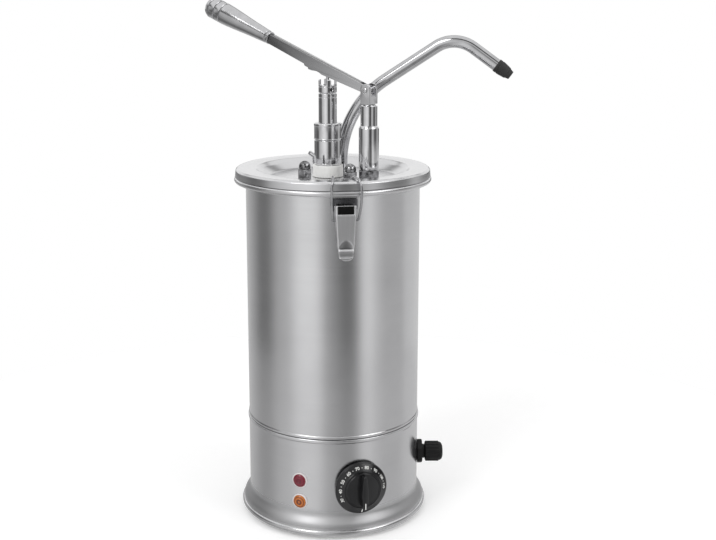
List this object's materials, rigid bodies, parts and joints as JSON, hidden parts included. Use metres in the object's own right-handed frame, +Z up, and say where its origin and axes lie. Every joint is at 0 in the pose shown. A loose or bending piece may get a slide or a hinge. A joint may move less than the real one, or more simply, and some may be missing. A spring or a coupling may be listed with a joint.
{
  "type": "hot fudge topping warmer",
  "caption": "Countertop topping warmer: heated round steel pot on a control base, latched lid with a lever pump and a gooseneck spout.",
  "frame": {"origin": "on the vessel's upright axis, at the height of the surface that the feet stand on", "axes": "+Z up along the vessel, -Y towards the front with the lamps and the knob, +X towards the cord gland and the spout outlet"},
  "size_m": [0.3202, 0.2122, 0.5398],
  "materials": {
    "satin_steel": "satin spun stainless steel",
    "polished_steel": "polished stainless steel",
    "knob_plastic": "glossy black moulding with a printed white scale",
    "black_plastic": "matte black moulding",
    "gland_plastic": "matte black nylon",
    "white_plastic": "white acetal",
    "red_lens": "dark red lens",
    "amber_lens": "amber lens with concentric rings",
    "aluminium": "cast",
    "spring_steel": "drawn wire and tube",
    "ceramic": "glazed terminal block",
    "black_rubber": "moulded rubber",
    "silicone": "translucent silicone"
  },
  "bodies": {
    "vessel": {"base_housing": "satin_steel", "bottom_cover": "satin_steel", "outer_jacket": "satin_steel", "inner_pot": "satin_steel", "lid": "satin_steel", "heat_shield": "satin_steel", "mount_plate": "satin_steel", "latch_base_front": "satin_steel", "latch_base_rear": "satin_steel", "acorn_nut_1": "polished_steel", "acorn_nut_2": "polished_steel", "acorn_nut_3": "polished_steel", "pump_cylinder": "polished_steel", "barrel_sleeve": "polished_steel", "barrel_cap": "polished_steel", "discharge_pipe": "polished_steel", "spout_pipe": "polished_steel", "lever_post": "polished_steel", "post_nut": "polished_steel", "clevis": "polished_steel", "pivot_pin": "polished_steel", "spring_seat": "polished_steel", "latch_pin_front": "polished_steel", "latch_pin_rear": "polished_steel", "thermostat": "black_plastic", "lamp_body_red": "black_plastic", "lamp_body_amber": "black_plastic", "gland_body": "gland_plastic", "gland_cap": "gland_plastic", "gland_locknut": "gland_plastic", "pump_collar": "white_plastic", "pump_foot": "white_plastic", "lamp_lens_red": "red_lens", "lamp_lens_amber": "amber_lens", "heater_plate": "aluminium", "heating_element": "spring_steel", "return_spring": "spring_steel", "terminal_block": "ceramic", "foot_1": "black_rubber", "foot_2": "black_rubber", "foot_3": "black_rubber", "foot_4": "black_rubber", "spout_nozzle": "black_rubber", "lid_gasket": "silicone"},
    "lever": {"lever": "polished_steel", "push_pin": "polished_steel", "lever_grip": "polished_steel"},
    "plunger": {"plunger_head": "polished_steel", "tappet": "polished_steel", "plunger_tube": "polished_steel", "piston_rod": "polished_steel", "piston": "white_plastic", "piston_seal": "silicone"},
    "knob": {"knob": "knob_plastic", "knob_shaft": "polished_steel"},
    "front_latch_lever": {"latch_lever_front": "satin_steel"},
    "front_bail": {"latch_bail_front": "polished_steel"},
    "rear_latch_lever": {"latch_lever_rear": "satin_steel"},
    "rear_bail": {"latch_bail_rear": "polished_steel"}
  },
  "joints": [
    {"name": "lever_press", "type": "hinge", "parent": "vessel", "child": "lever", "pos_m": [0.03642, -0.0295, 0.4497], "axis": [-0.58, -0.8146, 0], "range_deg": [0, 28], "stiffness_Nm_per_rad": 1, "springref_deg": -28.65},
    {"name": "plunger_slide", "type": "slide", "parent": "vessel", "child": "plunger", "axis": [0, 0, -1], "range_m": [0, 0.0251], "stiffness_N_per_m": 300, "springref_m": -0.03, "deforming": ["return_spring"]},
    {"name": "knob_turn", "type": "hinge", "parent": "vessel", "child": "knob", "pos_m": [0.02712, -0.08603, 0.0535], "axis": [-0.3007, 0.9537, 0], "range_deg": [0, 270]},
    {"name": "front_latch_open", "type": "hinge", "parent": "vessel", "child": "front_latch_lever", "pos_m": [0.01257, -0.09548, 0.3412], "axis": [-0.9914, -0.1305, 0], "range_deg": [0, 90]},
    {"name": "front_bail_swing", "type": "hinge", "parent": "front_latch_lever", "child": "front_bail", "pos_m": [0.01242, -0.09432, 0.33006], "axis": [-0.9914, -0.1305, 0], "range_deg": [-180.5, 0]},
    {"name": "rear_latch_open", "type": "hinge", "parent": "vessel", "child": "rear_latch_lever", "pos_m": [-0.01257, 0.09548, 0.3412], "axis": [0.9914, 0.1305, 0], "range_deg": [0, 90]},
    {"name": "rear_bail_swing", "type": "hinge", "parent": "rear_latch_lever", "child": "rear_bail", "pos_m": [-0.01242, 0.09432, 0.33006], "axis": [0.9914, 0.1305, 0], "range_deg": [-180.5, 0]}
  ],
  "couplings": [
    {"joint": "plunger_slide", "follows": "lever_press", "m_per_rad": 0.05116},
    {"joint": "front_bail_swing", "follows": "front_latch_open", "ratio": -2},
    {"joint": "rear_bail_swing", "follows": "rear_latch_open", "ratio": -2}
  ]
}
